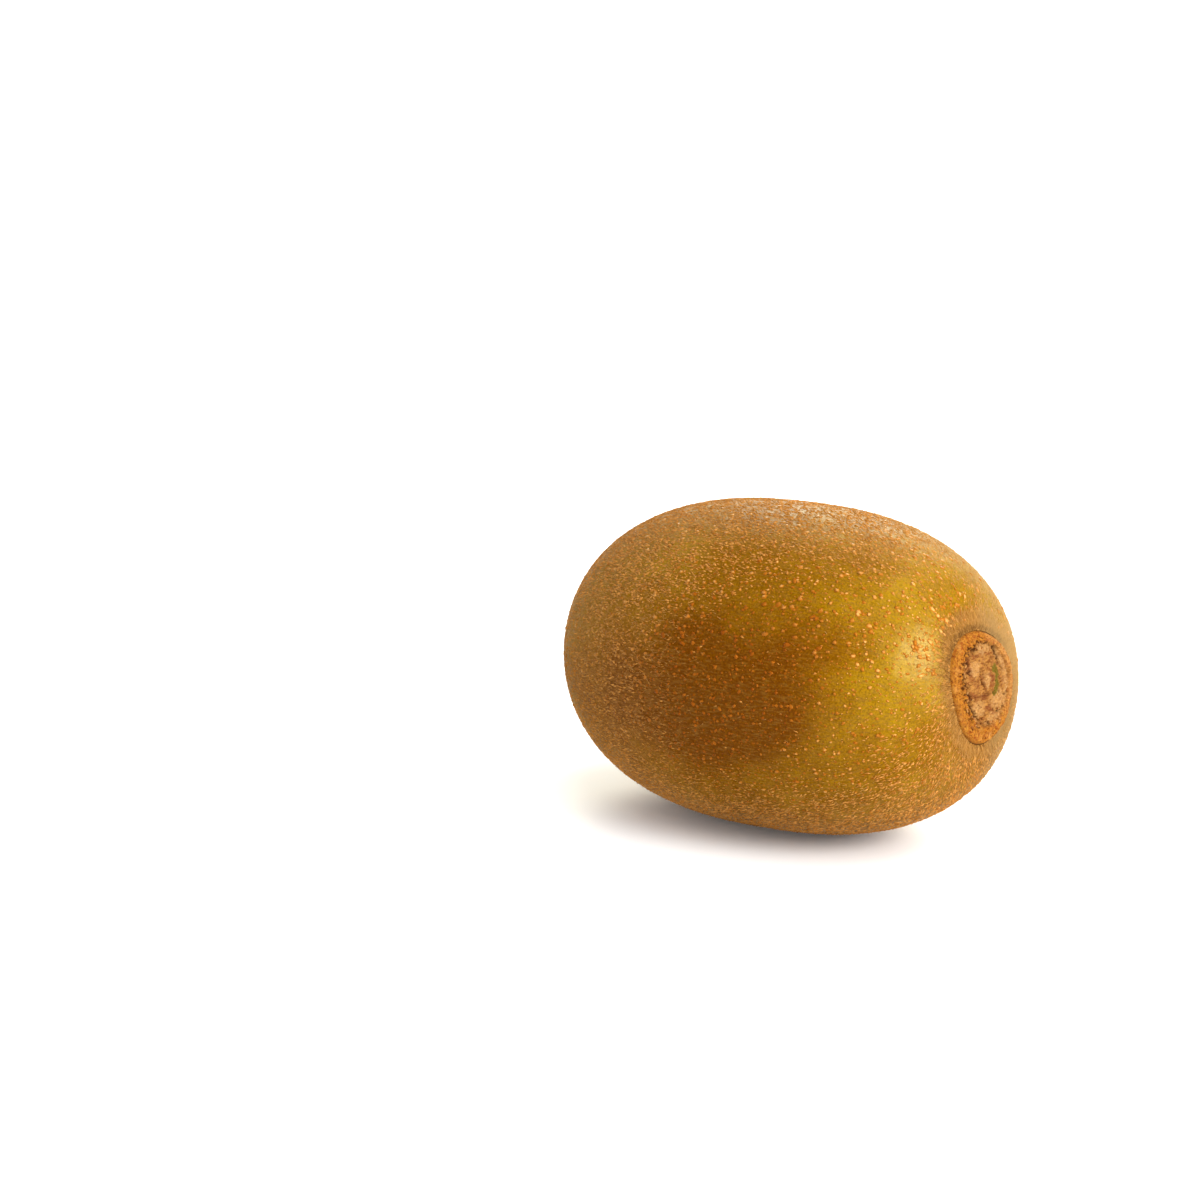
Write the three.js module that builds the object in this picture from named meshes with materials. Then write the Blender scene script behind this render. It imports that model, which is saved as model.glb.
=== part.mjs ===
// A golden kiwi fruit lying on its side, as one solid.
// Millimetres, Z up. The long axis runs along X with the stem end at +X, and the
// origin is at the bottom centre of the fruit's box, level with its flat spot.
import * as THREE from 'three';

// ---- Driving dimensions ----

// Body: two blunt half-eggs that meet at the widest section.
const girthRadius = 26;
const stemReach = 37.3;
const blossomReach = 37.7;
const stemBluntness = 2.52; // exponent of the outline: 2 is an ellipse, more is blunter
const blossomBluntness = 2.38;
const ovality = 0.005; // share by which the section is flatter from top to bottom
const endSag = 0.25; // how far both ends droop
const stemSag = 0.5; // how much lower the stem end droops than the blossom end
const sideBow = 0.35; // how far both ends bow sideways
const stemTilt = THREE.MathUtils.degToRad(3); // the stem end lies a little high
const footDepth = 0.5; // depth of the flat spot that the fruit rests on

// Stem scar: a corky ring round torn dry tissue with the stub of the stalk.
const scarRadius = 8.4;
const scarSide = -0.87; // the scar's centre off the long axis
const scarRise = 1.83;
const scarBlend = 9; // width of skin in which the rings of points turn round again
const scarStations = [0.14, 0.28, 0.42, 0.55, 0.66, 0.76, 0.86, 0.94, 1, 1.08]; // shares of scarRadius
const ringInner = 0.775; // inner edge of the cork, as a share of scarRadius
const ringHeight = 0.5;
const corkGrain = 0.15;
const floorDepth = 0.3;
const ledgeHeight = 0.45; // the tissue is torn off higher in the upper left than elsewhere
const stubRadius = 2.4;
const stubHeight = 0.7;
const stubSide = 0.65;
const stubRise = 0.85;

// Blossom end: a low beak that carries the dried styles.
const beakHeight = 0.6;
const beakWidth = 5;
const styleRadius = 2.1;
const styleHeight = 0.8;
const styleCount = 7;
const tipRadii = [5.6, 4.5, 3.6, 2.8, 2.1, 1.5, 0.8];

// Lenticels: raised corky dots all over the skin.
const lenticelShare = 0.19; // share of the skin's facets that carry one
const lenticelRadius = 0.5;
const lenticelHeight = 0.36;
const lenticelSeed = 11;

// Facets
const rowStep = 2.3; // along the fruit
const pointStep = 2.7; // round the fruit
const finePointStep = 1.35; // round the stem scar and the beak

// ---- Body ----

const { smoothstep, lerp } = THREE.MathUtils;

// Distance from the widest section to the skin, at a radius from the long axis.
function reachAt(radius, reach, bluntness) {
  return reach * (1 - (radius / girthRadius) ** bluntness) ** (1 / bluntness);
}

// Angle from the stem end at which a ring of a given radius lies.
function stemAngle(radius) {
  return Math.atan2(radius, reachAt(radius, stemReach, stemBluntness));
}

function blossomAngle(radius) {
  return Math.PI - Math.atan2(radius, reachAt(radius, blossomReach, blossomBluntness));
}

// Place along the long axis and radius of the skin, at an angle from the stem end.
function outline(angle) {
  const towardsStem = Math.cos(angle) >= 0;
  const reach = towardsStem ? stemReach : blossomReach;
  const bluntness = towardsStem ? stemBluntness : blossomBluntness;
  const along = (Math.abs(Math.cos(angle)) / reach) ** bluntness;
  const across = (Math.sin(angle) / girthRadius) ** bluntness;
  const distance = (along + across) ** (-1 / bluntness);
  return { x: distance * Math.cos(angle), radius: distance * Math.sin(angle) };
}

// The rings near the stem follow the scar's own outline, a leaning egg.
function scarShape(turn) {
  const lean = THREE.MathUtils.degToRad(112);
  const point = THREE.MathUtils.degToRad(9);
  return 1 + 0.062 * Math.cos(2 * (turn - lean)) + 0.037 * Math.cos(3 * (turn - point));
}

// Height of the stem scar above the skin, by its own polar coordinates.
function scarHeight(share, turn) {
  const inner = ringInner + 0.04 * Math.cos(turn) + 0.05 * Math.sin(turn);
  const cork = smoothstep(share, inner - 0.08, inner);
  const grain = 1 + corkGrain * Math.sin(11 * turn) * Math.cos(23 * share);
  const ring = ringHeight * grain * (1 - smoothstep(share, 0.94, 1.08));
  const y = share * scarRadius * Math.cos(turn);
  const z = share * scarRadius * Math.sin(turn);
  const ledge = ledgeHeight * smoothstep(z, -1.5, -0.6) * (1 - smoothstep(y, -1, 1));
  const stub = stubHeight * (1 - smoothstep(Math.hypot(y - stubSide, z - stubRise), 1, stubRadius));
  return lerp(Math.max(ledge, stub) - floorDepth, ring, cork);
}

// Height of the beak and the dried styles above the skin.
function beakRise(radius, turn) {
  const beak = beakHeight * Math.exp(-((radius / beakWidth) ** 2));
  const lobes = 0.7 + 0.3 * Math.cos(styleCount * turn);
  const pit = smoothstep(radius, 0, 1.2);
  const styles = styleHeight * lobes * pit * (1 - smoothstep(radius, 1.4, styleRadius));
  return beak + styles;
}

// A point of the skin, at an angle from the stem end and a turn round the long axis.
function skinPoint(angle, turn) {
  const { x, radius } = outline(angle);
  const point = new THREE.Vector3(x, 0, 0);
  const round = 1 + ovality * Math.cos(2 * turn);
  point.y = radius * round * Math.cos(turn);
  point.z = radius * round * Math.sin(turn);
  if (x > 0) {
    const blend = 1 - smoothstep(radius, scarRadius, scarRadius + scarBlend);
    const shape = lerp(1, scarShape(turn), blend);
    point.y = point.y * shape + scarSide * blend;
    point.z = point.z * shape + scarRise * blend;
    if (blend > 0) {
      point.x = reachAt(Math.hypot(point.y, point.z), stemReach, stemBluntness);
    }
    point.x += scarHeight(radius / scarRadius, turn);
  } else {
    point.x -= beakRise(radius, turn);
  }
  const share = (2 * x) / (stemReach + blossomReach);
  point.y += sideBow * share ** 2;
  point.z -= endSag * share ** 2 + stemSag * share ** 3;
  return point;
}

// ---- Rings of points, from the stem end to the blossom end ----

// Angles that split the skin between two rings into rows of even width.
function bodyAngles(from, to) {
  const samples = 400;
  const lengths = [0];
  let last = outline(from);
  for (let i = 1; i <= samples; i++) {
    const next = outline(lerp(from, to, i / samples));
    lengths.push(lengths[i - 1] + Math.hypot(next.x - last.x, next.radius - last.radius));
    last = next;
  }
  const rows = Math.round(lengths[samples] / rowStep);
  const angles = [];
  for (let row = 1, i = 1; row < rows; row++) {
    const wanted = (lengths[samples] * row) / rows;
    while (lengths[i] < wanted) i++;
    const part = (wanted - lengths[i - 1]) / (lengths[i] - lengths[i - 1]);
    angles.push(lerp(from, to, (i - 1 + part) / samples));
  }
  return angles;
}

function ringAngles() {
  const scar = scarStations.map((share) => stemAngle(share * scarRadius));
  const tip = tipRadii.map(blossomAngle);
  return [...scar, ...bodyAngles(scar.at(-1), tip[0]), ...tip];
}

// Adds a ring of points to the skin and gives its indices with their turns.
function addRing(points, angle, index) {
  const { radius } = outline(angle);
  const step = lerp(finePointStep, pointStep, smoothstep(radius, scarRadius, girthRadius));
  const count = Math.max(6, Math.round((2 * Math.PI * radius) / step));
  const ring = [];
  for (let i = 0; i < count; i++) {
    const turn = (2 * Math.PI * (i + 0.5 * (index % 2))) / count;
    ring.push({ turn, index: points.length });
    points.push(skinPoint(angle, turn));
  }
  return ring;
}

// Facets between two rings of points, each sorted by turn, which may differ in count.
function zipRings(upper, lower) {
  const facets = [];
  const turnOf = (ring, i) => ring[i % ring.length].turn + (i >= ring.length ? 2 * Math.PI : 0);
  let i = 0;
  let j = 0;
  while (i < upper.length || j < lower.length) {
    const a = upper[i % upper.length].index;
    const b = lower[j % lower.length].index;
    const upperNext = i < upper.length ? turnOf(upper, i + 1) : Infinity;
    const lowerNext = j < lower.length ? turnOf(lower, j + 1) : Infinity;
    if (upperNext < lowerNext) {
      i++;
      facets.push([a, b, upper[i % upper.length].index]);
    } else {
      j++;
      facets.push([a, b, lower[j % lower.length].index]);
    }
  }
  return facets;
}

// Facets from one point to a ring round it.
function fan(centre, ring) {
  return ring.map((place, i) => [centre, place.index, ring[(i + 1) % ring.length].index]);
}

// ---- Lenticels ----

// A repeatable random draw from 0 to 1.
function seededDraw(seed) {
  let state = seed;
  return () => {
    state = (state + 0x6d2b79f5) | 0;
    let mixed = Math.imul(state ^ (state >>> 15), 1 | state);
    mixed = (mixed + Math.imul(mixed ^ (mixed >>> 7), 61 | mixed)) ^ mixed;
    return ((mixed ^ (mixed >>> 14)) >>> 0) / 2 ** 32;
  };
}

// Centre and radius of the largest circle inside a facet.
function inscribedCircle(a, b, c) {
  const sides = [b.distanceTo(c), c.distanceTo(a), a.distanceTo(b)];
  const girth = sides[0] + sides[1] + sides[2];
  const centre = new THREE.Vector3();
  [a, b, c].forEach((corner, i) => centre.addScaledVector(corner, sides[i] / girth));
  const radius = (2 * new THREE.Triangle(a, b, c).getArea()) / girth;
  return { centre, radius };
}

// Splits a facet round a small pyramid that stands on it.
function raiseLenticel(points, facet, size) {
  const corners = facet.map((index) => points[index]);
  const { centre, radius } = inscribedCircle(...corners);
  const normal = new THREE.Triangle(...corners).getNormal(new THREE.Vector3());
  const baseRadius = Math.min(size * lenticelRadius, radius);
  const base = corners.map((corner) => {
    const arm = corner.clone().sub(centre).setLength(baseRadius);
    return points.push(arm.add(centre)) - 1;
  });
  const top = points.push(centre.addScaledVector(normal, size * lenticelHeight)) - 1;
  return facet.flatMap((corner, i) => {
    const next = (i + 1) % 3;
    return [
      [corner, facet[next], base[i]],
      [facet[next], base[next], base[i]],
      [base[i], base[next], top],
    ];
  });
}

// Raises lenticels on a share of the facets, clear of both ends and of the flat spot.
function withLenticels(points, facets, floor) {
  const draw = seededDraw(lenticelSeed);
  return facets.flatMap((facet) => {
    const clear = facet.every((index) => {
      const point = points[index];
      const radius = Math.hypot(point.y, point.z - scarRise);
      return radius > 1.25 * scarRadius && point.z > floor + 0.4;
    });
    const size = lerp(0.8, 1.15, draw());
    return draw() < lenticelShare && clear ? raiseLenticel(points, facet, size) : [facet];
  });
}

// ---- The fruit ----

function fruitGeometry() {
  const stemEnd = 0;
  const points = [skinPoint(0, 0)];
  const rings = ringAngles().map((angle, index) => addRing(points, angle, index));
  const blossomEnd = points.length;
  points.push(skinPoint(Math.PI, 0));

  const sideways = new THREE.Vector3(0, 1, 0);
  points.forEach((point) => point.applyAxisAngle(sideways, -stemTilt));
  const floor = Math.min(...points.map((point) => point.z)) + footDepth;
  points.forEach((point) => {
    point.z = Math.max(point.z, floor);
  });

  const skin = fan(stemEnd, rings[0]);
  for (let i = 1; i < rings.length; i++) {
    skin.push(...zipRings(rings[i - 1], rings[i]));
  }
  skin.push(...fan(blossomEnd, rings.at(-1)).map(([a, b, c]) => [a, c, b]));

  const geometry = new THREE.BufferGeometry();
  const facets = withLenticels(points, skin, floor);
  geometry.setFromPoints(points);
  geometry.setIndex(facets.flat());
  geometry.computeBoundingBox();
  const { min, max } = geometry.boundingBox;
  geometry.translate(-(min.x + max.x) / 2, -(min.y + max.y) / 2, -min.z);
  geometry.computeVertexNormals();
  return geometry;
}

function skinMaterial() {
  return new THREE.MeshStandardMaterial({ color: 0xa67c1e, roughness: 0.62, metalness: 0 });
}

const kiwi = new THREE.Group();
const fruit = new THREE.Mesh(fruitGeometry(), skinMaterial());
fruit.name = 'fruit';
kiwi.add(fruit);

export default kiwi;
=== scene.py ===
"""A golden kiwi fruit lying on its side: the looks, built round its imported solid."""
import math

import bpy
import numpy as np
from mathutils import Matrix, Vector, noise


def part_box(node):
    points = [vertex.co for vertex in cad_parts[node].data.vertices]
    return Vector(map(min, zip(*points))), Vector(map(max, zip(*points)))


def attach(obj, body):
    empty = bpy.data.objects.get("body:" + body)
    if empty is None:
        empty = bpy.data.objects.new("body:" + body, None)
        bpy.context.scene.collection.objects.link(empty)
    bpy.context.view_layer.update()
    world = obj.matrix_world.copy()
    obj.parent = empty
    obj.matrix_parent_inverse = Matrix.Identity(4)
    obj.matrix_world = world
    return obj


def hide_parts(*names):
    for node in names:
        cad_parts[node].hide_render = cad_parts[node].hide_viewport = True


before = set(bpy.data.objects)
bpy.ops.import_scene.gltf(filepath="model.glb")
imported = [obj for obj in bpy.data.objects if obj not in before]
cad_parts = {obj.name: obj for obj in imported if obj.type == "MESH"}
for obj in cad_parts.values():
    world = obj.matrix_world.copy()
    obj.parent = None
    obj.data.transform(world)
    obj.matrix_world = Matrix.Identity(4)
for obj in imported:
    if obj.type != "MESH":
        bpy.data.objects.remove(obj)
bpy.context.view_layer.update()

MM = 0.001  # the lengths below are in millimetres, and meshes are in metres

# ---- The form of the fruit, as its solid has it ----

GIRTH_RADIUS = 26.0
STEM_REACH = 37.3
BLOSSOM_REACH = 37.7
STEM_BLUNTNESS = 2.52  # exponent of the outline: 2 is an ellipse, more is blunter
BLOSSOM_BLUNTNESS = 2.38
OVALITY = 0.005
END_SAG = 0.25
STEM_SAG = 0.5
SIDE_BOW = 0.35
STEM_TILT = math.radians(3)
STEM_AXIS = np.array([math.cos(STEM_TILT), 0, math.sin(STEM_TILT)])

SCAR_RADIUS = 8.4
SCAR_SIDE = -0.87  # the scar's centre off the long axis
SCAR_RISE = 1.83
SCAR_BLEND = 9.0  # width of skin in which the scar's outline turns into a circle
SCAR_OVAL = 0.062
SCAR_LEAN = math.radians(112)
SCAR_TAPER = 0.037
SCAR_POINT = math.radians(9)

BEAK_HEIGHT = 0.6
BEAK_WIDTH = 5.0

PLACE = np.array([0.504, 0.051, 25.512])  # middle of the widest section in the shared frame
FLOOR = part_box("fruit")[0].z / MM


def smoothstep(value, low, high):
    t = np.clip((value - low) / (high - low), 0, 1)
    return t * t * (3 - 2 * t)


def mix(a, b, t):
    return a + (b - a) * t


def unit(vectors):
    return vectors / np.linalg.norm(vectors, axis=-1, keepdims=True)


def reach_at(radius, reach, bluntness):
    """Distance from the widest section to the skin, at a radius from the long axis."""
    share = np.clip(radius / GIRTH_RADIUS, 0, 1)
    return reach * (1 - share**bluntness) ** (1 / bluntness)


def outline(angle):
    """Place along the long axis and radius of the skin, at an angle from the stem end."""
    cos, sin = np.cos(angle), np.sin(angle)
    reach = np.where(cos >= 0, STEM_REACH, BLOSSOM_REACH)
    bluntness = np.where(cos >= 0, STEM_BLUNTNESS, BLOSSOM_BLUNTNESS)
    along = (np.abs(cos) / reach) ** bluntness
    across = (np.abs(sin) / GIRTH_RADIUS) ** bluntness
    distance = (along + across) ** (-1 / bluntness)
    return distance * cos, distance * np.abs(sin)


def scar_shape(turn):
    """The leaning egg of the stem scar's outline, as a share of its radius."""
    oval = SCAR_OVAL * np.cos(2 * (turn - SCAR_LEAN))
    return 1 + oval + SCAR_TAPER * np.cos(3 * (turn - SCAR_POINT))


def skin_point(angle, turn):
    """A point of the fruit's plain form, as it lies in the shared frame."""
    x, radius = outline(angle)
    section = 1 + OVALITY * np.cos(2 * turn)
    y = radius * section * np.cos(turn)
    z = radius * section * np.sin(turn)
    blend = np.where(x > 0, 1 - smoothstep(radius, SCAR_RADIUS, SCAR_RADIUS + SCAR_BLEND), 0)
    shape = mix(1, scar_shape(turn), blend)
    y = y * shape + SCAR_SIDE * blend
    z = z * shape + SCAR_RISE * blend
    stem_x = reach_at(np.hypot(y, z), STEM_REACH, STEM_BLUNTNESS)
    x = np.where(blend > 0, stem_x, x)
    beak = BEAK_HEIGHT * np.exp(-((radius / BEAK_WIDTH) ** 2))
    x = np.where(x < 0, x - beak, x)
    share = 2 * x / (STEM_REACH + BLOSSOM_REACH)
    y = y + SIDE_BOW * share**2
    z = z - END_SAG * share**2 - STEM_SAG * share**3
    cos, sin = math.cos(STEM_TILT), math.sin(STEM_TILT)
    return np.stack([x * cos - z * sin, y, x * sin + z * cos], -1) + PLACE


def skin_frame(angle, turn):
    """Place, outward normal, direction to the stem end and direction round, on the laid fruit."""
    step = 1e-4
    to_stem = unit(skin_point(angle - step, turn) - skin_point(angle + step, turn))
    around = unit(skin_point(angle, turn + step) - skin_point(angle, turn - step))
    normal = unit(np.cross(around, to_stem))
    return skin_point(angle, turn), normal, to_stem, np.cross(to_stem, normal)


# ---- Meshes ----

FINER = 2.0  # how much finer each octave of a fractal is than the one before
FADING = 0.8  # how fast the finer octaves fade


def new_object(name, data):
    made = bpy.data.objects.new(name, data)
    bpy.context.scene.collection.objects.link(made)
    return made


def make_object(name, points, faces, material, uvs=None, attributes=None, smooth=True):
    """A mesh object from points in millimetres, faces, UVs and point attributes.

    There is a UV for each point, or for each corner of a face."""
    mesh = bpy.data.meshes.new(name)
    sizes = np.array([len(face) for face in faces])
    corners = np.concatenate(faces)
    mesh.vertices.add(len(points))
    mesh.vertices.foreach_set("co", (points * MM).astype(np.float32).reshape(-1))
    mesh.loops.add(len(corners))
    mesh.loops.foreach_set("vertex_index", corners.astype(np.int32))
    mesh.polygons.add(len(sizes))
    mesh.polygons.foreach_set("loop_start", (np.cumsum(sizes) - sizes).astype(np.int32))
    mesh.polygons.foreach_set("loop_total", sizes.astype(np.int32))
    if uvs is not None:
        uvs = uvs[corners] if len(uvs) == len(points) else uvs
        layer = mesh.uv_layers.new(name="OFBake")
        layer.data.foreach_set("uv", uvs.astype(np.float32).reshape(-1))
    for key, values in (attributes or {}).items():
        kind, field = ("FLOAT", "value") if values.ndim == 1 else ("FLOAT_VECTOR", "vector")
        layer = mesh.attributes.new(key, kind, "POINT")
        layer.data.foreach_set(field, values.astype(np.float32).reshape(-1))
    mesh.polygons.foreach_set("use_smooth", np.full(len(sizes), smooth))
    mesh.update(calc_edges=True)
    mesh.validate()
    mesh.materials.append(material)
    return new_object(name, mesh)


def make_copies(name, points, faces, material, uvs, attributes, smooth=True):
    """One object of many copies of a small part, whose points and UVs are given copy by copy.

    An attribute has a column for each point of a copy, or one for the whole copy."""
    count, size, _ = points.shape
    all_faces = [face + size * index for index in range(count) for face in faces]
    spread = {key: np.broadcast_to(row, (count, size)).reshape(-1) for key, row in attributes.items()}
    points, uvs = points.reshape(-1, 3), uvs.reshape(-1, 2)
    return make_object(name, points, all_faces, material, uvs, spread, smooth)


def cell_uvs(template, count):
    """UVs that give each copy of a template a square of its own in one image."""
    across = math.ceil(math.sqrt(count))
    row, column = np.divmod(np.arange(count), across)
    flat = 0.5 + 0.42 * template[:, :2] / np.abs(template[:, :2]).max()
    return (np.stack([column, row], -1)[:, None] + flat) / across


def along_axes(place, axes, shapes):
    """Points of many copies, each at its place with its shape along its own three axes."""
    return place[:, None] + sum(shapes[..., [k]] * axes[k][:, None] for k in range(3))


def fractal(points, size, octaves=3, shift=0.0):
    """Smooth random heights, about -1 to 1, that change over a given size in millimetres.

    The shift keeps one pattern apart from another."""
    flat = points.reshape(-1, points.shape[-1]) / size + shift
    flat = np.pad(flat, [(0, 0), (0, 3 - flat.shape[1])])
    values = [noise.fractal(Vector(point), FADING, FINER, octaves) for point in flat]
    return np.array(values).reshape(points.shape[:-1])


def polar_quads(rows, columns):
    """Faces of a grid of points that closes on itself round each row."""
    row, column = np.divmod(np.arange((rows - 1) * columns), columns)
    here, after = row * columns + column, row * columns + (column + 1) % columns
    return np.stack([here, here + columns, after + columns, after], -1)


def polar_faces(rows, columns):
    """A polar grid closed with triangles to two points, one for each end, that come after it."""
    quads = polar_quads(rows, columns)
    opening = np.insert(quads[:columns, [0, 3]], 0, rows * columns, axis=1)
    closing = np.insert(quads[-columns:, [2, 1]], 0, rows * columns + 1, axis=1)
    return [*quads, *opening, *closing]


def polar_uvs(columns, heights):
    """Corner UVs of polar_faces: round the fruit across, and each row at its height."""
    row, column = np.divmod(np.arange((len(heights) - 1) * columns)[:, None], columns)
    parts = [
        (column + [0, 0, 1, 1], heights[row + [0, 1, 1, 0]]),
        (column[:columns] + [0.5, 0, 1], [1.0, heights[0], heights[0]]),
        (column[:columns] + [0.5, 1, 0], [0.0, heights[-1], heights[-1]]),
    ]
    pairs = [np.stack(np.broadcast_arrays(across / columns, up), -1) for across, up in parts]
    return np.concatenate([pair.reshape(-1, 2) for pair in pairs])


def meridian(samples=2000):
    """Angles from the stem end with the length of skin up to each."""
    angles = np.linspace(0, math.pi, samples)
    x, radius = outline(angles)
    steps = np.hypot(np.diff(x), np.diff(radius))
    return angles, np.concatenate([[0], np.cumsum(steps)])


MERIDIAN_ANGLES, MERIDIAN_LENGTHS = meridian()
SKIN_LENGTH = MERIDIAN_LENGTHS[-1]


def angle_at(length):
    return np.interp(length, MERIDIAN_LENGTHS, MERIDIAN_ANGLES)


def length_at(angle):
    return np.interp(angle, MERIDIAN_ANGLES, MERIDIAN_LENGTHS)


def share_at(angle):
    """Length of skin from the stem end, as a share of the whole."""
    return length_at(angle) / SKIN_LENGTH


def beside_scar(angle):
    """Distance in millimetres from the edge of the stem scar, over the skin."""
    return length_at(angle) - length_at(math.atan2(SCAR_RADIUS, STEM_REACH))


def from_tip(angle):
    """Distance in millimetres from the blossom end, over the skin."""
    return SKIN_LENGTH - length_at(angle)


# ---- Where the skin changes, as shares from 0 to 1 ----

FAR_COVER = 0.6  # how thick the fine fuzz is where far_cover is 1


def far_cover(angle, turn):
    """Where one side of the stem end is downy right up to the girth."""
    return smoothstep(np.cos(turn), -0.1, 0.5) * (1 - smoothstep(share_at(angle), 0.2, 0.45))


def fuzz_cover(angle, turn):
    """How thickly the fine fuzz covers the skin."""
    share, crest = share_at(angle), np.sin(turn)
    blossom = smoothstep(share, 0.46, 0.72)
    halo = 1 - smoothstep(share, 0.085, 0.15)
    above = 0.6 * smoothstep(crest, 0.76, 1.0) * smoothstep(share, 0.12, 0.3)
    below = 0.5 * smoothstep(-crest, 0.4, 0.9)
    far = FAR_COVER * far_cover(angle, turn)
    return np.clip(0.006 + 0.75 * blossom + 0.6 * halo + above + below + far, 0, 1)


def tuft_cover(angle, turn):
    """How thickly the coarse tufts stand: hardly any on the flanks of the girth."""
    share, crest = share_at(angle), np.sin(turn)
    halo = smoothstep(share, 0.09, 0.115)
    stem = smoothstep(-crest, -0.2, 0.5) * (1 - smoothstep(share, 0.13, 0.26))
    blossom = 0.5 * smoothstep(share, 0.5, 0.75)
    reach = smoothstep(share, 0.3, 0.55)
    above = 0.85 * smoothstep(crest, mix(0.8, 0.35, reach), mix(1.0, 0.8, reach))
    above = above * smoothstep(share, 0.16, 0.34)
    below = 0.9 * smoothstep(-crest, 0.35, 0.8)
    return np.clip(0.01 + stem + blossom + above + below, 0, 1) * halo


def rim_cover(angle, turn):
    """Where dark hairs stand round the stem scar: most along its upper edge."""
    upper = smoothstep(np.sin(turn), 0.3, 0.9)
    return (1 - smoothstep(beside_scar(angle), 0.3, 1.2)) * (0.2 + upper)


def halo_cover(angle, turn):
    """How thickly hairs stand on the skin next to the stem scar."""
    reach = mix(2.4, 4.6, smoothstep(np.sin(turn) + 0.5 * np.cos(turn), 0.0, 0.9))
    return 1 - smoothstep(beside_scar(angle), 0, 1.2 * reach)


def tip_cover(angle, turn):
    """How thickly hairs stand round the blossom end."""
    return 1 - smoothstep(from_tip(angle), 4.0, 8.5)


def brown_and_shade_cover(angle, turn):
    """Where the gold of the stem end has turned to brown, from the middle on and least on top; on the
    flank the brown is partly painted shade.
    """
    share, crest = share_at(angle), np.sin(turn)
    upper = smoothstep(crest, 0.25, 0.5)
    edge = 0.38 + 0.08 * smoothstep(-crest, 0.0, 0.3) - 0.04 * upper
    begun = smoothstep(share, 0.18 - 0.03 * upper, edge)
    ended = smoothstep(share, 0.5, 0.9 - 0.2 * smoothstep(crest, 0.0, 0.5))
    flank = begun * (1 - 0.6 * ended)
    flank = flank * (1 - 0.6 * smoothstep(crest, 0.1, 0.85))
    flank = flank * (1 - 0.5 * smoothstep(-crest, 0.05, 0.6))
    return np.maximum(flank, 0.38 * smoothstep(-crest, -0.35, 0.35))


# ---- Skin ----

SKIN_COLUMNS = 320
SKIN_ROW_STEP = 0.5
RIM_ROW_STEP = 0.15
SEAM_TURN = -math.pi / 2  # textures wrap round the fruit and meet underneath
SCAR_SINK = 2.4  # the skin passes under the stem scar at this depth
GROOVE_DEPTH = 0.25  # of the groove in the skin round the scar
GROOVE_PLACE = 1.04  # as a share of the scar's radius, as its width is
GROOVE_WIDTH = 0.05
DIMPLE_SIZE = 2.2
DIMPLE_DEPTH = 0.05


def skin_rows():
    """Distances from the stem end at which the skin has a row of points."""
    under_scar = np.arange(0.5, 0.88 * SCAR_RADIUS, 1.0)
    rim = np.arange(0.9 * SCAR_RADIUS, SCAR_RADIUS + 1.4, RIM_ROW_STEP)
    body = np.arange(SCAR_RADIUS + 1.5, SKIN_LENGTH - 0.5, SKIN_ROW_STEP)
    return np.concatenate([under_scar, rim, body, [SKIN_LENGTH - 0.25]])


def grain_place(angle, turn):
    """A place to read textures at that run lengthwise and meet at both ends."""
    across, up = GIRTH_RADIUS * np.cos(turn), GIRTH_RADIUS * np.sin(turn)
    return np.stack([across, up, length_at(angle)], -1)


def make_skin():
    lengths = skin_rows()
    turns = SEAM_TURN + np.arange(SKIN_COLUMNS) * 2 * math.pi / SKIN_COLUMNS
    angle, turn = np.meshgrid(angle_at(lengths), turns, indexing="ij")
    place, normal, _, _ = skin_frame(angle, turn)
    _, radius = outline(angle)
    stem_end = angle < 1
    sunk = np.where(stem_end, 1 - smoothstep(radius, 0.9 * SCAR_RADIUS, SCAR_RADIUS), 0)
    from_groove = (radius / SCAR_RADIUS - GROOVE_PLACE) / GROOVE_WIDTH
    groove = np.where(stem_end, np.exp(-(from_groove**2)), 0)
    height = DIMPLE_DEPTH * fractal(place, DIMPLE_SIZE)
    height = height - SCAR_SINK * sunk - GROOVE_DEPTH * groove
    place = place + normal * height[..., None]
    place[..., 2] = np.maximum(place[..., 2], FLOOR)
    tips, tip_normals, _, _ = skin_frame(np.array([0, math.pi - 1e-3]), 0.0)
    tips = tips - tip_normals * [[SCAR_SINK], [0]]
    points = np.concatenate([place.reshape(-1, 3), tips])
    angle, turn = np.append(angle, [0, math.pi]), np.append(turn, [0, 0])
    attributes = {
        "grain": grain_place(angle, turn),
        "fuzz": fuzz_cover(angle, turn),
        "brown": brown_and_shade_cover(angle, turn),
        "halo": halo_cover(angle, turn),
        "far": far_cover(angle, turn),
        "dull": smoothstep(np.cos(turn), 0.25, 0.65),
        "beside_scar": beside_scar(angle),
        "from_tip": from_tip(angle),
    }
    faces = polar_faces(len(lengths), SKIN_COLUMNS)
    uvs = polar_uvs(SKIN_COLUMNS, 1 - lengths / SKIN_LENGTH)
    skin = make_object("skin", points, faces, skin_material(), uvs, attributes)
    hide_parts("fruit")
    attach(skin, "root")


# ---- Lenticels: the raised corky dots ----

LENTICEL_SEED = 5
LENTICEL_SIDES = 6
LENTICEL_STEP = 0.95  # from one row to the next, and from one dot to the next
LENTICEL_RADIUS = 0.15  # on average, with most of them smaller
LENTICEL_RADII = (0.08, 0.3)
LENTICEL_CLEARANCE = 0.35  # from the floor
DOME_SHOULDER = (0.68, 0.72)  # radius and height, as shares of the dome's own
DOME_SINK = 0.25


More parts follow.
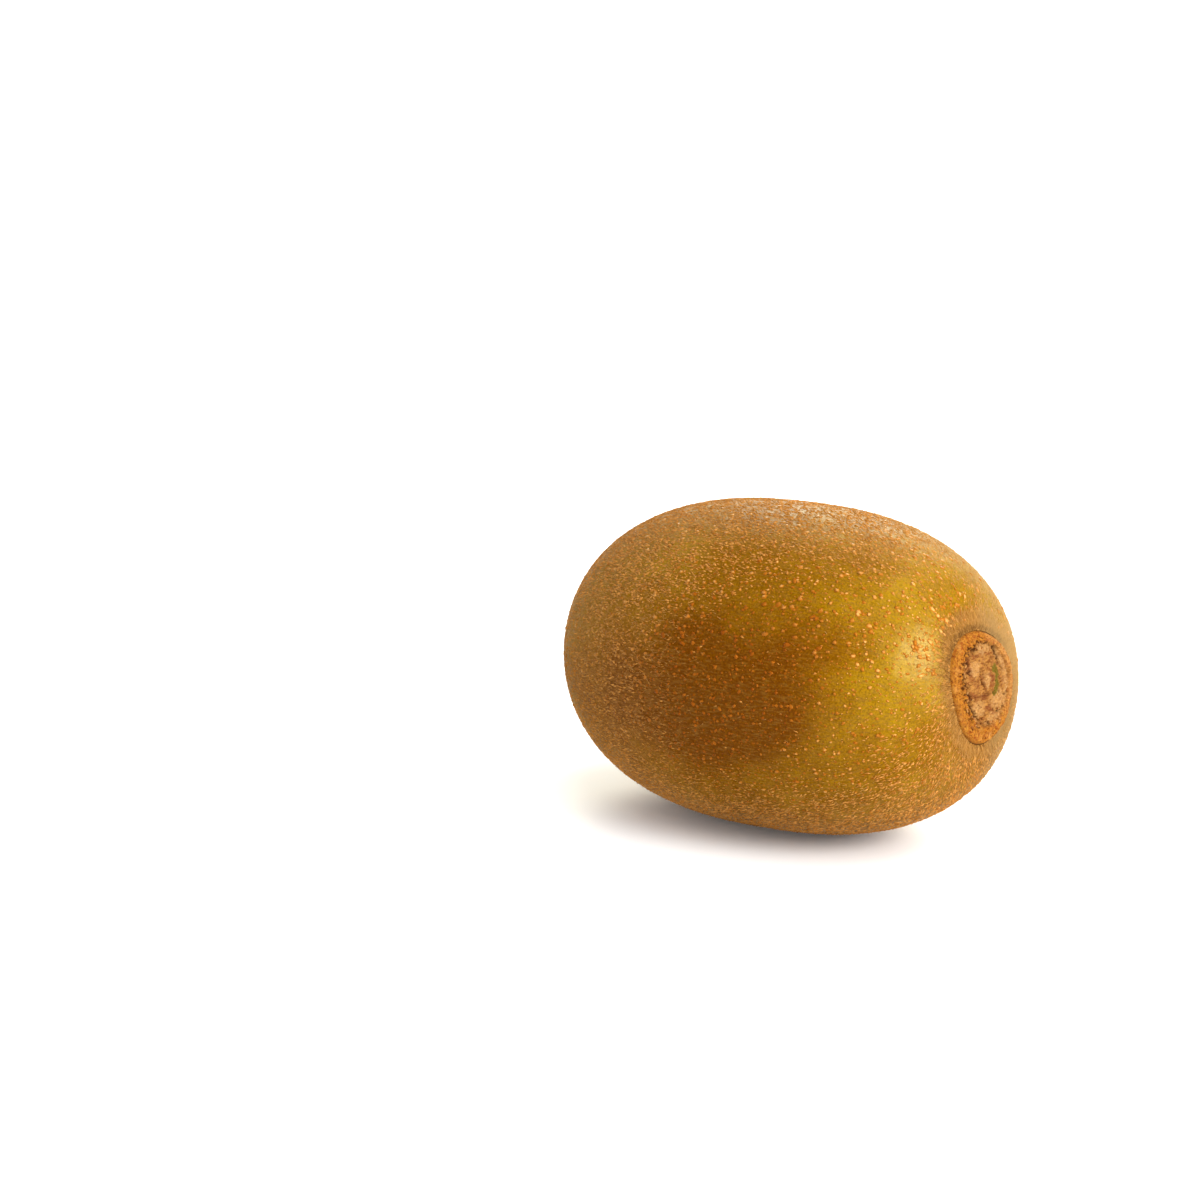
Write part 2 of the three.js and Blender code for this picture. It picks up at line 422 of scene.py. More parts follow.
def lenticel_places(draw):
    """Angles and turns of the lenticels, spread evenly with a little disorder."""
    angles, turns = [], []
    for length in np.arange(SCAR_RADIUS + 1.0, SKIN_LENGTH - 2.5, LENTICEL_STEP):
        _, radius = outline(angle_at(length))
        count = max(6, int(2 * math.pi * radius / LENTICEL_STEP))
        row_turns = (np.arange(count) + draw.uniform(-0.48, 0.48, count)) * 2 * math.pi / count
        row_lengths = length + draw.uniform(-0.6, 0.6, count) * LENTICEL_STEP
        angles.append(angle_at(row_lengths))
        turns.append(row_turns + draw.uniform(0, 6.28))
    return np.concatenate(angles), np.concatenate(turns)


def dome_template(sides):
    """Unit dome: a base ring sunk below the skin, a shoulder ring and a top."""
    turn = np.arange(sides) * 2 * math.pi / sides
    circle = np.stack([np.cos(turn), np.sin(turn)], -1)
    base = np.insert(circle, 2, -DOME_SINK, axis=1)
    shoulder = np.insert(DOME_SHOULDER[0] * circle, 2, DOME_SHOULDER[1], axis=1)
    faces = []
    for i in range(sides):
        after = (i + 1) % sides
        faces.append([i, after, sides + after])
        faces.append([i, sides + after, sides + i])
        faces.append([sides + i, sides + after, 2 * sides])
    return np.concatenate([base, shoulder, [[0, 0, 1.0]]]), np.array(faces)


def make_lenticels():
    draw = np.random.default_rng(LENTICEL_SEED)
    angle, turn = lenticel_places(draw)
    place = skin_point(angle, turn)
    crowded = smoothstep(fractal(place, 4.5, 2, 51.0), -0.5, 0.3)
    thin = np.maximum(0.4 * tuft_cover(angle, turn), 1.2 * FAR_COVER * far_cover(angle, turn))
    open_skin = draw.uniform(0, 1, len(angle)) > mix(np.maximum(thin, 0.15), thin, crowded)
    kept = (place[:, 2] > FLOOR + LENTICEL_CLEARANCE) & open_skin
    angle, turn = angle[kept], turn[kept]
    place, normal, to_stem, around = skin_frame(angle, turn)
    count = len(angle)
    near_scar = 1 - smoothstep(beside_scar(angle), 3, 16)
    crest = smoothstep(np.sin(turn), 0.1, 0.6)
    radius = draw.gamma(3, LENTICEL_RADIUS / 3, count).clip(*LENTICEL_RADII)
    radius = radius * mix(0.6, 1.0, smoothstep(beside_scar(angle), 0.5, 5))
    radius = radius * (1 + 0.3 * crest) * mix(1.0, 0.85, tuft_cover(angle, turn))
    stretch = 1 + draw.uniform(0, 0.5, count) + near_scar * draw.uniform(0, 0.6, count)
    height = radius * draw.uniform(0.4, 0.8, count) * (1 - 0.3 * crest)
    spin = draw.normal(0, 0.35, count)[:, None]
    template, faces = dome_template(LENTICEL_SIDES)
    lumps = 1 + draw.uniform(-0.5, 0.5, (count, len(template)))
    shapes = template * np.stack([lumps, lumps, np.ones_like(lumps)], -1)
    shapes = shapes * np.stack([radius * stretch, radius, height], -1)[:, None]
    axes = [
        np.cos(spin) * to_stem + np.sin(spin) * around,
        -np.sin(spin) * to_stem + np.cos(spin) * around,
        normal,
    ]
    attributes = {
        "tone": draw.uniform(0, 1, (count, 1)),
        "top": template[:, 2].clip(0, 1),
        "brown": brown_and_shade_cover(angle, turn)[:, None],
        "fuzz": fuzz_cover(angle, turn)[:, None],
    }
    points, uvs = along_axes(place, axes, shapes), cell_uvs(template, count)
    dots = make_copies("lenticels", points, faces, lenticel_material(), uvs, attributes)
    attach(dots, "root")


# ---- Fuzz ----

FUZZ_GRID = 240  # rows and columns of cells that a hair may fall in
ROOT_DEPTH = 0.04
FUZZ_CLEARANCE = 0.3
# A hair is a sharp three-sided spike; a tuft is a low lens with its two ends tapered.
# Points are shares of the width across, of the length along, and of the width outward.
HAIR = (
    np.array([[-0.5, 0, 0], [0.5, 0, 0], [0, 0, 0.7], [0, 1, 0]]),
    np.array([[0, 2, 3], [2, 1, 3], [1, 0, 3]]),
)
TUFT = (
    np.array([[0, 0, 0], [-0.5, 0.45, 0], [0.5, 0.4, 0], [0.05, 0.6, 0.55], [0, 1, 0]]),
    np.array([[0, 3, 1], [0, 2, 3], [1, 3, 4], [3, 2, 4], [0, 1, 4], [0, 4, 2]]),
)


def scatter(draw, count, cover):
    """Angles and turns of points spread over the skin, as thickly as cover says."""
    row_edges = np.linspace(SCAR_RADIUS + 0.2, SKIN_LENGTH - 0.3, FUZZ_GRID + 1)
    lengths = (row_edges[1:] + row_edges[:-1]) / 2
    turns = (np.arange(FUZZ_GRID) + 0.5) * 2 * math.pi / FUZZ_GRID
    angle, turn = np.meshgrid(angle_at(lengths), turns, indexing="ij")
    _, radius = outline(angle)
    weight = (radius * cover(angle, turn)).reshape(-1)
    cells = draw.choice(FUZZ_GRID**2, count, p=weight / weight.sum())
    row, column = np.divmod(cells, FUZZ_GRID)
    length = row_edges[row] + draw.uniform(0, 1, count) * (row_edges[1] - row_edges[0])
    return angle_at(length), (column + draw.uniform(0, 1, count)) * 2 * math.pi / FUZZ_GRID


def make_fuzz(name, seed, count, cover, shape, lengths, widths, spread, lift, dark, light):
    """Many short hairs or tufts, each a few faces, rooted in the skin."""
    draw = np.random.default_rng(seed)
    angle, turn = scatter(draw, count, cover)
    clear = skin_point(angle, turn)[:, 2] > FLOOR + FUZZ_CLEARANCE
    angle, turn = angle[clear], turn[clear]
    place, normal, to_stem, around = skin_frame(angle, turn)
    count = len(angle)
    near_scar = 1 - smoothstep(length_at(angle), SCAR_RADIUS + 3, SCAR_RADIUS + 20)
    heading = (draw.normal(0, 1, count) * mix(spread, 0.22, near_scar) + math.pi)[:, None]
    rise = np.abs(draw.normal(lift, 0.5 * lift, count)).clip(0.05, 1.2)[:, None]
    flat = np.cos(heading) * to_stem + np.sin(heading) * around
    direction = np.cos(rise) * flat + np.sin(rise) * normal
    side = unit(np.cross(direction, normal))
    length = draw.uniform(*lengths, (count, 1, 1))
    width = draw.uniform(*widths, (count, 1, 1))
    template, faces = shape
    jitter = template + draw.uniform(-0.12, 0.12, (count, len(template), 3))
    along = template[:, [1]] * length
    shapes = np.concatenate([jitter[..., [0]] * width, along, jitter[..., [2]] * width], -1)
    attributes = {
        "tone": draw.uniform(0, 1, (count, 1)),
        "brown": brown_and_shade_cover(angle, turn)[:, None],
        "far": far_cover(angle, turn)[:, None],
    }
    axes = [side, direction, np.cross(side, direction)]
    points = along_axes(place - ROOT_DEPTH * normal, axes, shapes)
    uvs = cell_uvs(template - [0, 0.5, 0], count)
    material = fuzz_material(name, dark, light)
    fuzz = make_copies(name, points, faces, material, uvs, attributes, smooth=False)
    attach(fuzz, "root")


# ---- Stem scar ----

RING_INNER = 0.775  # inner edge of the cork, as a share of the scar's radius
RING_HEIGHT = 0.5
RING_EDGE = 1.03  # where the ring ends, as a share of the scar's radius
TISSUE_DEPTH = 0.3
LEDGE_HEIGHT = 0.45
STUB_CENTRE = (0.65, 0.85)
STUB_RADIUS = 2.4
STUB_HEIGHT = 0.7
FOLD_HEIGHT = 0.3
CREASE_DEPTH = 0.12
CRUMB_HEIGHT = 0.35

# Cracks in the scar's dry tissue: points (side, rise) from its centre, half-width, depth and how
# much painted shade darkens them inside.
SCAR_CRACKS = [
    ([(-2.4, 7.6), (-1.8, 7.0), (-2.4, 6.0)], 0.4, 0.4, 0.95),
    ([(-4.2, 4.9), (-4.1, 4.2)], 0.35, 0.4, 0.9),
    ([(-4.1, 3.8), (-3.9, 2.8)], 0.3, 0.35, 0.8),
    ([(-5.3, 5.2), (-5.7, 3.4), (-5.8, 2.0), (-5.0, 1.0), (-5.3, 0.2)], 0.26, 0.35, 0.85),
    ([(-4.6, -0.3), (-4.2, -1.6), (-3.9, -2.8), (-3.0, -3.9)], 0.55, 0.45, 0.95),
    ([(-2.8, -4.2), (-1.8, -4.9)], 0.16, 0.3, 0.85),
    ([(-1.4, -5.5), (-0.7, -5.9), (0.3, -5.6), (1.3, -6.2), (2.4, -6.0)], 0.14, 0.3, 0.75),
    ([(4.6, -4.1), (5.8, -3.3)], 0.22, 0.35, 0.75),
    ([(3.0, -4.6), (4.1, -4.6)], 0.13, 0.3, 0.85),
    ([(3.4, 5.6), (3.8, 4.6), (4.2, 3.6)], 0.36, 0.5, 1.0),
    ([(4.2, 3.6), (4.5, 2.5), (5.4, 1.4)], 0.12, 0.3, 0.6),
    ([(-1.2, 1.8), (-1.2, 0.9), (-1.0, 0.1)], 0.14, 0.3, 0.7),
    ([(1.0, 6.6), (2.4, 6.2)], 0.16, 0.2, 0.6),
    ([(2.2, 7.0), (3.9, 6.3)], 0.16, 0.2, 0.5),
]
# Red-brown parts of the tissue, partly stain and partly painted shade along ledges and beside the
# stub: points (side, rise), half-width and how strong they are.
SCAR_STAINS_AND_SHADE = [
    ([(-4.2, -0.5), (-2.2, -1.0), (0.5, -1.5)], 0.6, 1.0),
    ([(-4.3, 5.0), (-4.1, 3.8), (-3.7, 2.4)], 0.6, 0.9),
    ([(-1.0, 2.0), (-1.0, 0.9), (-0.7, -0.1)], 0.3, 0.8),
    ([(0.8, 2.0), (1.4, 1.1), (1.2, 0.0)], 0.55, 1.0),
    ([(0.1, -3.4), (1.2, -3.7), (2.3, -4.6)], 0.4, 0.9),
    ([(-2.5, 5.5), (-0.9, 5.3), (0.9, 5.0), (2.4, 4.7)], 0.3, 0.7),
    ([(-3.2, 1.4), (-2.4, 0.4)], 0.5, 0.6),
]
# The pale fold along the far inside of the ring.
SCAR_FOLD = [(3.9, 5.0), (5.2, 3.4), (6.1, 1.0), (6.3, -1.4), (5.2, -3.6), (3.4, -5.2), (1.0, -5.5)]
# Paler parts of the tissue: middle, reach to each side and height.
PALE_PARTS = [
    ((0.3, 6.0), (2.2, 0.9), 0.3),
    ((-2.6, 3.4), (1.2, 1.2), 0.0),
    ((3.6, -2.6), (2.2, 1.3), 0.15),
    ((-0.1, 1.2), (0.8, 1.2), 0.1),
    ((-2.0, -3.1), (1.8, 1.3), 0.1),
]
GREEN_CENTRE = (1.7, 0.5)  # the crescent of live tissue
GREEN_RADIUS = 2.0
GREEN_WIDTH = 0.62
GREEN_FROM = math.radians(-84)
GREEN_TO = math.radians(76)
SCAR_DEPTH = 2.2  # how far below the fruit's form its underside comes to a point
SCAR_ROWS = 96
SCAR_COLUMNS = 420


def line_distance(points, line):
    """Distance of each point from a line of straight pieces."""
    distances = []
    for start, end in zip(np.array(line[:-1]), np.array(line[1:])):
        arm = end - start
        share = np.clip(((points - start) @ arm) / (arm @ arm), 0, 1)
        distances.append(np.linalg.norm(points - (start + share[..., None] * arm), axis=-1))
    return np.min(distances, axis=0)


def near_line(points, line, sure, reach):
    """1 up to a sure distance from a line and 0 beyond its reach."""
    return 1 - smoothstep(line_distance(points, line), sure, reach)


def ring_inner_edge(turn, ragged=0.0):
    """Where the cork ring gives way to torn tissue, as a share of the scar's radius."""
    return RING_INNER + 0.04 * np.cos(turn) + 0.05 * np.sin(turn) + 0.05 * ragged


def cork_ring(share, circle, flat):
    """Height of the lumpy cork ring, and where it is split."""
    rings = np.concatenate([circle * SCAR_RADIUS / 3, (SCAR_RADIUS * share)[..., None]], -1)
    lumps = 0.12 * fractal(rings, 1.2, 2, 11.0) + 0.2 * fractal(flat, 0.55, 3, 3.0)
    split = 1 - smoothstep(np.abs(fractal(rings, 0.7, 3, 17.0)), 0.02, 0.16)
    split = split * smoothstep(fractal(flat, 2.2, 2, 19.0), -0.3, 0.3)
    edge = 1 - smoothstep(share, 0.94, RING_EDGE)
    return (RING_HEIGHT + lumps - 0.16 * split) * edge - 1.1 * smoothstep(share, 0.99, RING_EDGE), split


def torn_tissue(flat, warped):
    """Height of the sunken tissue with its ledge, stub and pale parts, and where it is pale."""
    side, rise = warped[..., 0], warped[..., 1]
    ledge = LEDGE_HEIGHT * smoothstep(rise, -1.25, -0.75) * (1 - smoothstep(side, -0.6, 0.9))
    from_stub = np.linalg.norm(warped - STUB_CENTRE, axis=-1)
    stub = STUB_HEIGHT * (1 - smoothstep(from_stub, 0.6 * STUB_RADIUS, STUB_RADIUS))
    fibres = np.stack([flat[..., 0] / 2.6, flat[..., 1]], -1)
    tissue = np.maximum(ledge, stub) - TISSUE_DEPTH
    tissue = tissue + 0.18 * fractal(flat, 2.0, 4, 5.0) + 0.1 * fractal(flat, 0.4, 3, 9.0)
    tissue = tissue + 0.1 * fractal(fibres, 0.32, 2, 15.0)
    pale = np.zeros_like(side)
    for centre, reach, height in PALE_PARTS:
        part = 1 - smoothstep(np.linalg.norm((warped - centre) / reach, axis=-1), 0.65, 1.35)
        tissue = tissue + height * part
        pale = np.maximum(pale, part)
    return tissue, pale


def cracks(flat, warped):
    """Depth of the cracks, and the painted shade inside them."""
    depths, shade_inside = 0, 0
    broken = mix(0.4, 1.0, smoothstep(fractal(flat, 0.7, 3, 27.0), -0.6, 0.0))
    for line, half_width, depth, shade_strength in SCAR_CRACKS:
        cut = near_line(warped, line, 0.2 * half_width, 1.4 * half_width) * broken
        depths = depths + depth * cut
        shade_inside = np.maximum(shade_inside, shade_strength * cut)
    return depths, shade_inside


def green_crescent(warped, wobble):
    """Where live green tissue shows round the stub."""
    away = warped - GREEN_CENTRE
    turn = np.arctan2(away[..., 1], away[..., 0])
    length = smoothstep(turn, GREEN_FROM, GREEN_FROM + 0.25)
    length = length * (1 - smoothstep(turn, GREEN_TO - 0.25, GREEN_TO))
    width = GREEN_WIDTH * (1 + 0.7 * np.sin(2 * turn) ** 2 + 0.3 * wobble)
    aside = np.abs(np.linalg.norm(away, axis=-1) - GREEN_RADIUS)
    return length * (1 - smoothstep(aside, 0.5 * width, 1.3 * width))


def scar_relief(share, turn):
    """Height of the scar above the fruit's form, with what it is made of at each point and where shade
    is painted on it.
    """
    circle = np.stack([np.cos(turn), np.sin(turn)], -1)
    flat = SCAR_RADIUS * (share * scar_shape(turn))[..., None] * circle
    wobble = np.stack([fractal(flat, 0.9, 4, 31.0), fractal(flat, 0.9, 4, 41.0)], -1)
    warped = flat + 0.4 * wobble
    inner = ring_inner_edge(turn, fractal(flat, 1.2, 4, 7.0))
    cork = smoothstep(share, inner - 0.05, inner + 0.02)
    ring, split = cork_ring(share, circle, flat)
    worn = smoothstep(-np.cos(turn + 0.3), -0.3, 0.6)
    crumbly = np.exp(-(((share - inner + 0.01) / (0.06 + 0.08 * worn)) ** 2)) * (0.4 + 0.6 * worn)
    crumbs = fractal(flat, 0.5, 3, 21.0)
    tissue, pale = torn_tissue(flat, warped)
    fold = near_line(warped, SCAR_FOLD, 0.3, 1.1) * (1 - 0.7 * cork)
    depths, crevice_shade = cracks(flat, warped)
    creases = 1 - smoothstep(np.abs(fractal(warped / 1.6, 1.0, 3, 37.0)), 0.0, 0.12)
    creases = creases * smoothstep(fractal(flat, 1.8, 2, 39.0), -0.1, 0.4) * (1 - cork)
    tissue = tissue + FOLD_HEIGHT * fold - depths - CREASE_DEPTH * creases
    # red-brown stain of the tissue, partly painted shade
    stains_and_shade = [
        strength * near_line(warped, line, 0.3 * half_width, 1.5 * half_width)
        for line, half_width, strength in SCAR_STAINS_AND_SHADE
    ]
    far_ring = 0.7 * cork * smoothstep(np.cos(turn - 0.3), 0.2, 0.9)
    # painted shade in the cracks, creases, gaps between crumbs and splits of the cork
    crevice_shade = np.maximum(crevice_shade, 0.6 * creases) * (1 - 0.6 * cork)
    crevice_shade = np.maximum(crevice_shade, crumbly * smoothstep(-crumbs, 0.0, 0.3))
    makeup_and_shade = {
        "cork": cork,
        "crevice_shade": np.maximum(crevice_shade, 0.45 * split * cork),
        "green": green_crescent(warped, wobble[..., 0]),
        "pale": np.maximum(pale * (1 - cork), np.maximum(fold, far_ring)),
        "stain_and_shade": np.max(stains_and_shade, axis=0),
    }
    return mix(tissue, ring, cork) + CRUMB_HEIGHT * crumbly * crumbs, makeup_and_shade


def scar_point(share, turn, height):
    """A laid point of the scar at a height above the fruit's form."""
    radius = share * SCAR_RADIUS
    angle = np.arctan2(radius, reach_at(radius, STEM_REACH, STEM_BLUNTNESS))
    return skin_point(np.maximum(angle, 1e-3), turn) + STEM_AXIS * np.expand_dims(height, -1)


def make_scar():
    shares = np.linspace(0.012, RING_EDGE, SCAR_ROWS)
    turns = np.arange(SCAR_COLUMNS) * 2 * math.pi / SCAR_COLUMNS
    share, turn = np.meshgrid(shares, turns, indexing="ij")
    height, makeup_and_shade = scar_relief(share, turn)
    points = scar_point(share, turn, height)
    ends = [points[0].mean(0), scar_point(0.0, 0.0, -SCAR_DEPTH)]
    points = np.concatenate([points.reshape(-1, 3), ends])
    across, up = np.append(share * np.cos(turn), [0, 0]), np.append(share * np.sin(turn), [0, 0])
    uvs = 0.5 + 0.48 * np.stack([across, up], -1) / RING_EDGE
    attributes = {key: np.append(values, [0, 0]) for key, values in makeup_and_shade.items()}
    faces = polar_faces(SCAR_ROWS, SCAR_COLUMNS)
    scar = make_object("stem_scar", points, faces, scar_material(), uvs, attributes)
    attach(scar, "root")


# ---- Torn flakes of dry tissue round the inside of the ring ----

FLAKE_SEED = 23
FLAKE_COUNT = 80
FLAKE_GRID = 4
FLAKE_LENGTHS = (0.3, 0.8)
FLAKE_WIDTHS = (0.2, 0.45)
FLAKE_HALF_THICKNESS = 0.05


def sheet_faces():
    """Faces of a thin closed sheet: a grid on each side, and a strip round its edge."""
    size = FLAKE_GRID**2
    grid = np.arange(size).reshape(FLAKE_GRID, FLAKE_GRID)
    quads = [grid[:-1, :-1], grid[1:, :-1], grid[1:, 1:], grid[:-1, 1:]]
    front = np.stack(quads, -1).reshape(-1, 4)
    edge = np.concatenate([grid[0], grid[1:, -1], grid[-1, -2::-1], grid[-2:0:-1, 0]])
    after = np.roll(edge, -1)
    strip = np.stack([edge, after, after + size, edge + size], -1)
    return np.concatenate([front, front[:, ::-1] + size, strip])


def make_flakes():
    draw = np.random.default_rng(FLAKE_SEED)
    steps = np.linspace(0, 1, FLAKE_GRID)
    u, v = np.meshgrid(steps, steps, indexing="ij")
    points, tones = [], []
    for _ in range(FLAKE_COUNT):
        turn = draw.normal(1.25 * math.pi, 0.9)
        share = ring_inner_edge(turn) - draw.normal(0.06, 0.08)
        length, width = draw.uniform(*FLAKE_LENGTHS), draw.uniform(*FLAKE_WIDTHS)
        curl = draw.uniform(0.4, 1.7)
        heading = turn + math.pi / 2 + draw.normal(0, 0.5)
        height, _ = scar_relief(np.array([share]), np.array([turn]))
        inward = draw.choice([-1, 1])
        lengthwise = np.array([0, math.cos(heading), math.sin(heading)])
        crosswise = inward * np.array([0, -math.sin(heading), math.cos(heading)])
        taper = 1 - 0.6 * (2 * u - 1) ** 2 * v + 0.15 * draw.uniform(-1, 1, v.shape)
        side = width * np.sin(curl * v) / curl * taper
        rise = width * (1 - np.cos(curl * v)) / curl * taper + 0.02
        shape = np.stack([length * (u - 0.5), side, rise], -1)
        sheet = scar_point(share, turn, height) + shape @ [lengthwise, crosswise, STEM_AXIS]
        thick = FLAKE_HALF_THICKNESS * (1 - 0.7 * v)[..., None] * (STEM_AXIS - crosswise)
        points.append(np.stack([sheet + thick, sheet - thick]).reshape(-1, 3))
        tones.append([draw.uniform(0, 1)])
    template = np.tile(np.stack([u, v], -1).reshape(-1, 2) - 0.5, (2, 1))
    points, uvs = np.array(points), cell_uvs(template, FLAKE_COUNT)
    attributes = {"tone": np.array(tones)}
    flakes = make_copies("torn_flakes", points, sheet_faces(), flake_material(), uvs, attributes)
    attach(flakes, "root")


# ---- Blossom end: the withered styles ----

STYLE_SEED = 31
STYLE_COUNT = 44
STYLE_SIDES = 6
STYLE_RINGS = 8
STYLE_SPREAD = 1.9
STYLE_LENGTHS = (0.8, 1.9)
STYLE_RADIUS = 0.24
STYLE_ROOT = 0.3  # how far the styles start below the skin
NO_STYLE_DIRECTION = (0.3, 0.5, 0.8)  # any direction that no style runs along


def tube(path, radii):
    """The points of a tapering tube along a path, ring by ring."""
    tangents = unit(np.gradient(path, axis=0))
    a = unit(np.cross(tangents, NO_STYLE_DIRECTION))
    b = np.cross(tangents, a)
    turn = (np.arange(STYLE_SIDES) * 2 * math.pi / STYLE_SIDES)[:, None]
    circles = np.cos(turn) * a[:, None] + np.sin(turn) * b[:, None]
    return (path[:, None] + radii[:, None, None] * circles).reshape(-1, 3)


def make_styles():
    """A small dark tuft of dried styles, bent down on the tip of the beak."""
    draw = np.random.default_rng(STYLE_SEED)
    tip = skin_point(math.pi - 1e-3, 0.0)
    points, tones = [], []
    share = np.linspace(0, 1, STYLE_RINGS)
    for _ in range(STYLE_COUNT):
        turn = draw.uniform(0, 2 * math.pi)
        start = STYLE_SPREAD * math.sqrt(draw.uniform(0, 1)) * 0.75
        away = np.array([0, math.cos(turn), math.sin(turn)])
        along = np.array([0, -math.sin(turn), math.cos(turn)]) * draw.normal(0, 0.7)
        length = draw.uniform(*STYLE_LENGTHS)
        bow = np.sin(share * math.pi * draw.uniform(0.5, 1.1))
        path = tip + start * away + STYLE_ROOT * STEM_AXIS
        path = path + (share * length * 0.7)[:, None] * (away * draw.uniform(-0.2, 0.7) + along)
        path = path - (bow * length * 0.42)[:, None] * STEM_AXIS
        path = path + draw.normal(0, 0.05, path.shape) * share[:, None]
        points.append(tube(path, STYLE_RADIUS * (1 - 0.75 * share) * draw.uniform(0.7, 1.3)))
        tones.append([draw.uniform(0, 1)])
    points, attributes = np.array(points), {"tone": np.array(tones)}
    ring = np.arange(STYLE_SIDES)
    ends = [ring[::-1], ring + (STYLE_RINGS - 1) * STYLE_SIDES]
    faces = [*polar_quads(STYLE_RINGS, STYLE_SIDES)[:, [0, 3, 2, 1]], *ends]
    flat = points[..., 1:] - points[..., 1:].mean((0, 1))
    uvs = 0.5 + 0.45 * flat / np.abs(flat).max()
    styles = make_copies("dried_styles", points, faces, style_material(), uvs, attributes)
    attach(styles, "root")


# ---- Materials ----

DRY_IOR = 1.2  # low, so that edges seen at a slant keep their own colour
DOWNY_SHEEN = (255, 236, 205)
WARM_GLINT = (255, 246, 150)


def colour(red, green, blue):
    """A colour given as 0 to 255 on screen, as the linear value that Blender wants."""
    shares = [value / 255 for value in (red, green, blue)]
    linear = [s / 12.92 if s <= 0.04045 else ((s + 0.055) / 1.055) ** 2.4 for s in shares]
    return (*linear, 1.0)


class Graph:
    """A material with a Principled shader, and short names for the nodes that feed it."""

    def __init__(self, name, gloss=0.5, glint=WARM_GLINT, sheen=0.0):
        self.material = bpy.data.materials.new(name)
        self.material.use_nodes = True
        self.tree = self.material.node_tree
        self.shader = self.tree.nodes["Principled BSDF"]
        self.set("IOR", DRY_IOR)
        self.set("Specular IOR Level", gloss)
        self.set("Specular Tint", colour(*glint))
        self.set("Sheen Weight", sheen)
        self.set("Sheen Roughness", 0.25)
        self.set("Sheen Tint", colour(*DOWNY_SHEEN))

    def set(self, name, value):
        self.shader.inputs[name].default_value = value

    def add(self, kind, inputs=(), output=0, **settings):
        """Adds a node. inputs are (name or index, value or socket) pairs."""
        made = self.tree.nodes.new(kind)
        for key, value in settings.items():
            setattr(made, key, value)
        for key, value in inputs:
            if isinstance(value, bpy.types.NodeSocket):
                self.tree.links.new(value, made.inputs[key])
            else:
                made.inputs[key].default_value = value
        return made.outputs[output]

    def attribute(self, name, output="Fac"):
        return self.add("ShaderNodeAttribute", output=output, attribute_name=name)

    def place(self):
        """The point's place in the part's frame, in millimetres."""
        return self.scaled(self.add("ShaderNodeTexCoord", output="Object"), [1 / MM] * 3)

    def scaled(self, vector, factors):
        inputs = [(0, vector), (1, factors)]
        return self.add("ShaderNodeVectorMath", inputs, operation="MULTIPLY")

    def noise(self, vector, size, detail, roughness=0.55):
        inputs = [("Vector", vector), ("Scale", 1 / size), ("Detail", detail)]
        return self.add("ShaderNodeTexNoise", inputs + [("Roughness", roughness)], output="Fac")

    def dots(self, vector, size, output="Distance"):
        inputs = [("Vector", vector), ("Scale", 1 / size)]
        return self.add("ShaderNodeTexVoronoi", inputs, output=output)

    def plus(self, a, b):
        return self.add("ShaderNodeMath", [(0, a), (1, b)], operation="ADD")

    def times(self, a, b):
        return self.add("ShaderNodeMath", [(0, a), (1, b)], operation="MULTIPLY")

    def between(self, value, low, high, to_low=0.0, to_high=1.0):
        """The value, stretched from low..high to another range and held inside it."""
        inputs = [(0, value), (1, low), (2, high), (3, to_low), (4, to_high)]
        return self.add("ShaderNodeMapRange", inputs, clamp=True, interpolation_type="SMOOTHSTEP")

    def blend(self, a, b, share):
        """Two colours, each a socket or red, green and blue from 0 to 255, blended by a share."""
        a, b = [colour(*paint) if isinstance(paint, tuple) else paint for paint in (a, b)]
        return self.add("ShaderNodeMix", [(0, share), (6, a), (7, b)], output=2, data_type="RGBA")

    def paint(self, base, *layers):
        """A base colour under layers, each a colour and the share of what is below that it hides."""
        for paint, share in layers:
            base = self.blend(base, paint, share)
        return base

    def bump(self, height, depth, strength):
        """A bumped normal. depth is in millimetres."""
        inputs = [("Strength", strength), ("Distance", depth * MM), ("Height", height)]
        return self.add("ShaderNodeBump", inputs)

    def finish(self, base, roughness=None, normal=None):
        sockets = {"Base Color": base, "Roughness": roughness, "Normal": normal}
        for name, socket in sockets.items():
            if socket is not None:
                self.tree.links.new(socket, self.shader.inputs[name])
        return self.material


